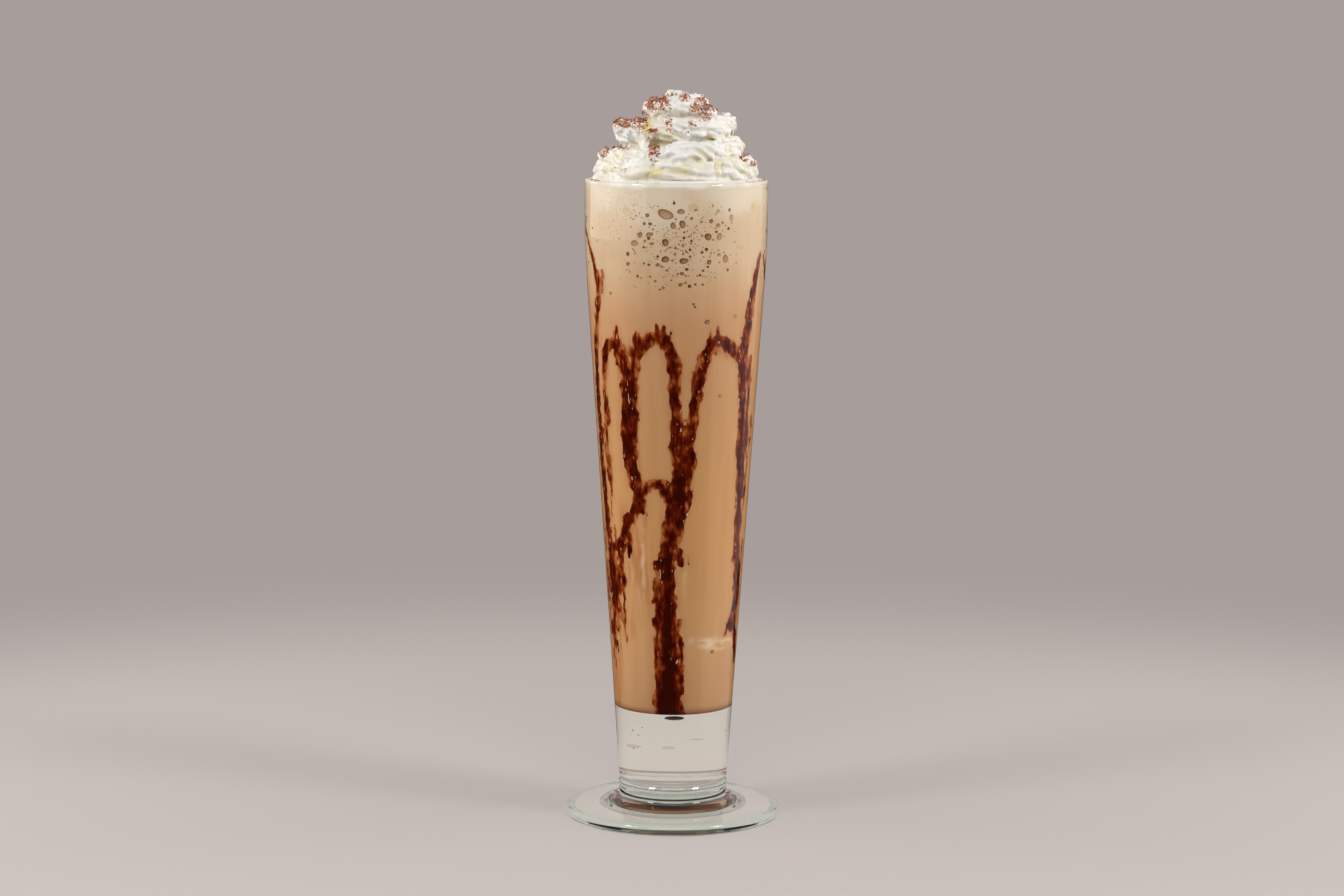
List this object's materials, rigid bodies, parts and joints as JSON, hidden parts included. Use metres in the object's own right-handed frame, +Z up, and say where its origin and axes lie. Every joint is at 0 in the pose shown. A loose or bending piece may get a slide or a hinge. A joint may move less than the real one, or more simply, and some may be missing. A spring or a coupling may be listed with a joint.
{
  "type": "coffee milkshake",
  "caption": "Tall footed glass on a thick clear base, brimful of pale coffee milkshake over running chocolate syrup, with froth and a cocoa-dusted swirl of piped cream.",
  "frame": {"origin": "centre of the foot, on the surface that the glass stands on", "axes": "+Z up along the axis of the glass; -Y is the side where the syrup's trunk runs down; +X is to the right of that side"},
  "size_m": [0.0796, 0.0796, 0.267],
  "materials": {
    "glass": "clear pressed glass with a faint green tint in its thick foot, polished",
    "milkshake": "opaque pale coffee brown, wet against the glass",
    "froth": "pale foam with open bubbles against the glass",
    "whipped_cream": "soft white piped cream, slightly shiny"
  },
  "bodies": {
    "root": {"glass": "glass", "milkshake": "milkshake", "froth": "froth", "whipped_cream": "whipped_cream"}
  },
  "joints": []
}
